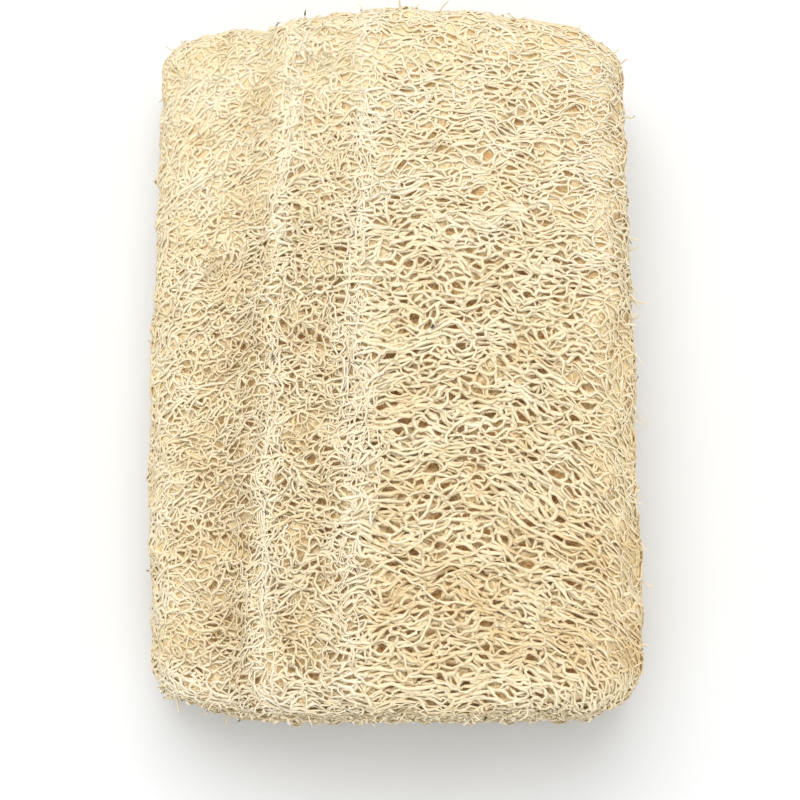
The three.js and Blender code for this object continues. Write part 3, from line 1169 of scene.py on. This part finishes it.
def node(tree, kind, links=None, stops=(), **settings):
    """A node with its settings, its inputs as values or as links from other nodes, and the stops
    of its colour ramp if it has one."""
    made = tree.nodes.new(kind)
    for key, value in settings.items():
        setattr(made, key, value)
    for key, value in (links or {}).items():
        if isinstance(value, bpy.types.NodeSocket):
            tree.links.new(value, made.inputs[key])
        else:
            made.inputs[key].default_value = value
    for k, (place, colour) in enumerate(stops):
        elements = made.color_ramp.elements
        element = elements[k] if k < len(elements) else elements.new(place)
        element.position = place
        element.color = linear(colour)
    return made


def new_material(name, roughness, specular=0.5):
    """A material with its node tree and its shader."""
    material = bpy.data.materials.new(name)
    material.use_nodes = True
    shader = material.node_tree.nodes["Principled BSDF"]
    shader.inputs["Roughness"].default_value = roughness
    shader.inputs["Specular IOR Level"].default_value = specular
    return material, material.node_tree, shader


def dried_luffa_fibre():
    """Dried luffa strands: woody cellulose threads, matt, cream where bleached and straw where
    not. A strand's tone, its own with painted light and shade added by place, picks its colour,
    and its shade mixes in warmer, darker colours for strands further in: painted shade, for the
    light that reaches them through others."""
    material, tree, shader = new_material("dried_luffa_fibre", roughness=0.62, specular=0.2)
    place = node(tree, "ShaderNodeUVMap", uv_map=UV)
    split = node(tree, "ShaderNodeSeparateXYZ", {"Vector": place.outputs["UV"]})
    tone, shade = split.outputs["X"], split.outputs["Y"]
    surface = node(tree, "ShaderNodeValToRGB", {"Fac": tone}, stops=(
        (0.0, "#DEC392"), (0.3, "#E7D5AF"), (0.55, "#EADBB8"), (0.8, "#EBDDBF"), (1.0, "#EDE2C8"),
    ))
    # The deep ramp is painted shade: warmer, darker colours for strands further in.
    deep = node(tree, "ShaderNodeValToRGB", {"Fac": tone}, stops=(
        (0.0, "#DFC18A"), (0.5, "#E9D09E"), (1.0, "#EDDCB1"),
    ))
    colour = node(tree, "ShaderNodeMix", {
        "Factor": shade, "A": deep.outputs["Color"], "B": surface.outputs["Color"],
    }, data_type="RGBA")
    tree.links.new(colour.outputs["Result"], shader.inputs["Base Color"])
    return material


# The fine nets of the packed fibre: the size of a cell and half the width of a strand. Their
# strands wander by up to 1.1 mm, with 380 waves to the metre, and the second net lies lower.
FINE_NETS = ((2.0, 0.2), (1.5, 0.17))
WANDER = 1.1
WANDER_WAVES = 380.0
SECOND_NET_HEIGHT = 0.6
FINE_NET_RELIEF = 0.3

# The packed fibre's colours from between its strands to their tops, darker between them partly as
# painted shade: where it is open and where it is close, paler there with less painted shade, each
# on the level and in the pits under the holes, where the tan is painted shade
OPEN_FIBRE = ((0.0, "#C9AC78"), (0.5, "#DDC698"), (1.0, "#EBDBB4"))
CLOSE_FIBRE = ((0.0, "#E2CA9A"), (0.5, "#EBD9AE"), (1.0, "#F0E1BB"))
OPEN_PIT_PAINTED_SHADE = ((0.0, "#B27C42"), (0.5, "#CD9E62"), (1.0, "#DAB680"))
CLOSE_PIT_PAINTED_SHADE = ((0.0, "#C39658"), (0.5, "#D2AB6F"), (1.0, "#DFC18C"))


def packed_luffa_fibre():
    """The same fibre further in, where it is packed: two sizes of net, seen only in the gaps of
    the nets that lie over it. It is darker between its strands, partly as painted shade, tan in
    the pits under the holes as painted shade, and paler where it is close, where less shade is
    painted."""
    material, tree, shader = new_material("packed_luffa_fibre", roughness=0.9)
    coords = node(tree, "ShaderNodeTexCoord").outputs["Object"]
    wander = node(tree, "ShaderNodeTexNoise", {
        "Vector": coords, "Scale": WANDER_WAVES, "Detail": 1.0,
    })
    bent = node(tree, "ShaderNodeVectorMath", {
        0: wander.outputs["Color"], 1: (WANDER * MM, WANDER * MM, WANDER * MM), 2: coords,
    }, operation="MULTIPLY_ADD").outputs["Vector"]
    heights = []
    for cell, strand in FINE_NETS:
        edge = node(tree, "ShaderNodeTexVoronoi", {
            "Vector": bent, "Scale": 1 / (cell * MM),
        }, feature="DISTANCE_TO_EDGE")
        heights.append(node(tree, "ShaderNodeMapRange", {
            "Value": edge.outputs["Distance"], "From Min": 1.5 * strand / cell, "From Max": 0.02,
            "To Min": 0.0, "To Max": 1.0,
        }, interpolation_type="SMOOTHSTEP").outputs["Result"])
    lower = node(tree, "ShaderNodeMath", {
        0: heights[1], 1: SECOND_NET_HEIGHT,
    }, operation="MULTIPLY")
    height = node(tree, "ShaderNodeMath", {
        0: heights[0], 1: lower.outputs["Value"],
    }, operation="MAXIMUM").outputs["Value"]

    # pit turns the colour tan as painted shade in the pits, and packed makes it paler where the
    # fibre is close, with less painted shade.
    pit = node(tree, "ShaderNodeAttribute", attribute_name="pit")
    close = node(tree, "ShaderNodeAttribute", attribute_name="packed")
    colours = []
    for open_stops, close_stops in ((OPEN_FIBRE, CLOSE_FIBRE), (OPEN_PIT_PAINTED_SHADE, CLOSE_PIT_PAINTED_SHADE)):
        open_colour = node(tree, "ShaderNodeValToRGB", {"Fac": height}, open_stops)
        close_colour = node(tree, "ShaderNodeValToRGB", {"Fac": height}, close_stops)
        colours.append(node(tree, "ShaderNodeMix", {
            "Factor": close.outputs["Fac"], "A": open_colour.outputs["Color"],
            "B": close_colour.outputs["Color"],
        }, data_type="RGBA").outputs["Result"])
    mixed = node(tree, "ShaderNodeMix", {
        "Factor": pit.outputs["Fac"], "A": colours[0], "B": colours[1],
    }, data_type="RGBA")
    tree.links.new(mixed.outputs["Result"], shader.inputs["Base Color"])
    relief = node(tree, "ShaderNodeBump", {
        "Height": height, "Strength": 0.7, "Distance": FINE_NET_RELIEF * MM,
    })
    tree.links.new(relief.outputs["Normal"], shader.inputs["Normal"])
    return material


# The inner body: how deep it lies on the level, how much deeper under a hole and how deep at the
# ends, how far a pit reaches past its hole, and the step of its mesh across where holes lie over
# it and elsewhere, with the least that is left before the seam
INNER_DEPTH = 0.62
INNER_RIPPLES = ((0.1, 4, 90),)
PIT_DEPTH = 2.2
INNER_DEPTH_AT_ENDS = 1.9
PAST_HOLE = 0.7
FINE_STEP, PLAIN_STEP = 1.2, 3.2
LEAST_STEP = 1.5
INNER_ROWS = 132

# How much less of a pit there is where the fibre is close and beside the wide band, how much
# shallower pits are where it is close, and how much shallower the body lies beside the wide band
CLOSE_PIT_LESS, BESIDE_PIT_LESS = 0.15, 0.2
CLOSE_PIT_SHALLOWER = 0.4
BESIDE_SHALLOWER = 0.15


def inner_fibre(material):
    """The fibre that fills the pad behind its nets: a closed body with a pit under each hole."""
    low, high = LOW_SIDE_END - 8, FREE_SIDE_START + 8
    across = np.concatenate([
        np.arange(0, low, PLAIN_STEP), np.arange(low, high, FINE_STEP),
        np.arange(high, GIRTH - LEAST_STEP, PLAIN_STEP),
    ])
    away = np.linspace(-AWAY_REACH, AWAY_REACH, INNER_ROWS)
    v, u = np.meshgrid(away, across, indexing="ij")
    u, v = u.ravel(), v.ravel()
    pit = np.zeros(len(u))
    hole_v = HOLES[:, 1] + flow(HOLES[:, 0], HOLES[:, 1])
    for (hole_u, _, length, height), centre in zip(HOLES, hole_v):
        reach_u, reach_v = length + PAST_HOLE, height + PAST_HOLE
        pit = np.maximum(pit, bell(u, hole_u, reach_u) * bell(v, centre, reach_v))
    close = packed_close(u, v)
    beside = 1 - ease(u, CREASE_IN - 3, CREASE_IN + 3)
    pit = pit * (1 - CLOSE_PIT_LESS * close) * (1 - BESIDE_PIT_LESS * beside)
    depth = INNER_DEPTH + ripples(u, v, INNER_RIPPLES)
    depth = depth + PIT_DEPTH * pit * (1 - CLOSE_PIT_SHALLOWER * close)
    depth = depth * depth_kept(u, v, *BODY_PRESSED) * (1 - BESIDE_SHALLOWER * beside)
    ends = ease(abs(v), RIM_REACH - 4, RIM_REACH + 1)
    depth = mix(depth, INNER_DEPTH_AT_ENDS, ends) - swell(u, v)
    surface, outward = on_skin(u, v)
    points = surface - outward * depth[:, None]

    mesh = bpy.data.meshes.new("inner_fibre")
    index = np.arange(len(u)).reshape(INNER_ROWS, len(across))
    after = np.roll(index, -1, axis=1)
    quads = np.stack([index[:-1], after[:-1], after[1:], index[1:]], 2).reshape(-1, 4)
    caps = [index[0, ::-1].tolist(), index[-1].tolist()]
    mesh.from_pydata((points * MM).tolist(), [], quads.tolist() + caps)
    mesh.validate()
    mesh.shade_smooth()
    # pit and packed pick the body's colours: painted shade in the pits, and less of it where the
    # fibre is close.
    for name, values in (("pit", pit), ("packed", close)):
        attribute = mesh.attributes.new(name, "FLOAT", "POINT")
        attribute.data.foreach_set("value", values.astype(np.float32))
    add_piece("inner_fibre", mesh, material)


inner_fibre(packed_luffa_fibre())
fibre = dried_luffa_fibre()
for layer in LAYERS:
    skin_net(layer, fibre)
    end_net(layer, False, fibre)
    end_net(layer, True, fibre)
end_tips(False, fibre)
end_tips(True, fibre)
stray_ends(fibre)
ridge_strands(fibre)
flakes(fibre)
fuzz(fibre)


# The surround's brightness, how much brighter it is low in front, towards the near end, and how
# closely that glow keeps low and to the front
SURROUND = 0.94
FRONT_GLOW = 3.5
GLOW_LOW, GLOW_FRONT = 4.0, 2.0

# In metres, and the lamp's power in watts
FLOOR_SIZE = 2
LAMP_PLACE = (-0.06, 0.45, 0.9)
LAMP_AIM = (0, 0, 0.03)
LAMP_SIZE = 0.9
LAMP_POWER = 7.0
LAMP_COLOUR = (1.0, 0.985, 0.96)


def white_paper():
    """Matt white backdrop paper: an even, very pale grey with hardly any shine."""
    material, _, shader = new_material("white_paper", roughness=0.9, specular=0.1)
    shader.inputs["Base Color"].default_value = linear("#DDDEDE")
    return material


def floor():
    bpy.ops.mesh.primitive_plane_add(size=FLOOR_SIZE)
    plane = bpy.context.object
    plane.name = "floor"
    plane.data.materials.append(white_paper())


def surround():
    """An even bright surround, with a glow low in front that lights the near end's face."""
    world = bpy.data.worlds.new("studio_surround")
    world.use_nodes = True
    tree = world.node_tree
    background = tree.nodes["Background"]
    background.inputs["Color"].default_value = linear("#FCFDFF")
    ways = node(tree, "ShaderNodeTexCoord").outputs["Generated"]
    part = node(tree, "ShaderNodeSeparateXYZ", {"Vector": ways})
    front = node(tree, "ShaderNodeMath", {
        0: part.outputs["Y"], 1: -1.0,
    }, operation="MULTIPLY", use_clamp=True).outputs["Value"]
    low = node(tree, "ShaderNodeMath", {
        0: 1.0, 1: part.outputs["Z"],
    }, operation="SUBTRACT", use_clamp=True).outputs["Value"]
    lowest = node(tree, "ShaderNodeMath", {
        0: low, 1: GLOW_LOW,
    }, operation="POWER").outputs["Value"]
    frontal = node(tree, "ShaderNodeMath", {
        0: front, 1: GLOW_FRONT,
    }, operation="POWER").outputs["Value"]
    share = node(tree, "ShaderNodeMath", {
        0: lowest, 1: frontal,
    }, operation="MULTIPLY").outputs["Value"]
    strength = node(tree, "ShaderNodeMath", {
        0: share, 1: FRONT_GLOW, 2: SURROUND,
    }, operation="MULTIPLY_ADD").outputs["Value"]
    tree.links.new(strength, background.inputs["Strength"])
    bpy.context.scene.world = world


def soft_lamp():
    """One broad soft light from above and behind."""
    bpy.ops.object.light_add(type="AREA", location=LAMP_PLACE)
    lamp = bpy.context.object
    lamp.name = "soft_light"
    lamp.data.shape = "DISK"
    lamp.data.size = LAMP_SIZE
    lamp.data.energy = LAMP_POWER
    lamp.data.color = LAMP_COLOUR
    aim = Vector(LAMP_AIM) - lamp.location
    lamp.rotation_euler = aim.to_track_quat("-Z", "Y").to_euler()


# Where the camera looks and how far away it is, in millimetres, its height above the floor's
# plane in degrees, and its lens and sensor in millimetres
CAMERA_TARGET = (2.0, -9.5, 30)
CAMERA_DISTANCE = 497
CAMERA_ELEVATION = 80
CAMERA_LENS = 106.5
CAMERA_SENSOR = 36


def camera():
    """The camera looks down steeply from beyond the near end."""
    angle = math.radians(CAMERA_ELEVATION)
    target = Vector(CAMERA_TARGET) * MM
    place = target + Vector((0, -math.cos(angle), math.sin(angle))) * CAMERA_DISTANCE * MM
    bpy.ops.object.camera_add(location=place, rotation=(math.pi / 2 - angle, 0, 0))
    made = bpy.context.object
    made.data.lens = CAMERA_LENS
    made.data.sensor_width = CAMERA_SENSOR
    made.data.clip_start = 0.01
    bpy.context.scene.camera = made


floor()
surround()
soft_lamp()
camera()
bpy.context.scene.view_settings.view_transform = "Standard"
bpy.context.scene.view_settings.look = "None"
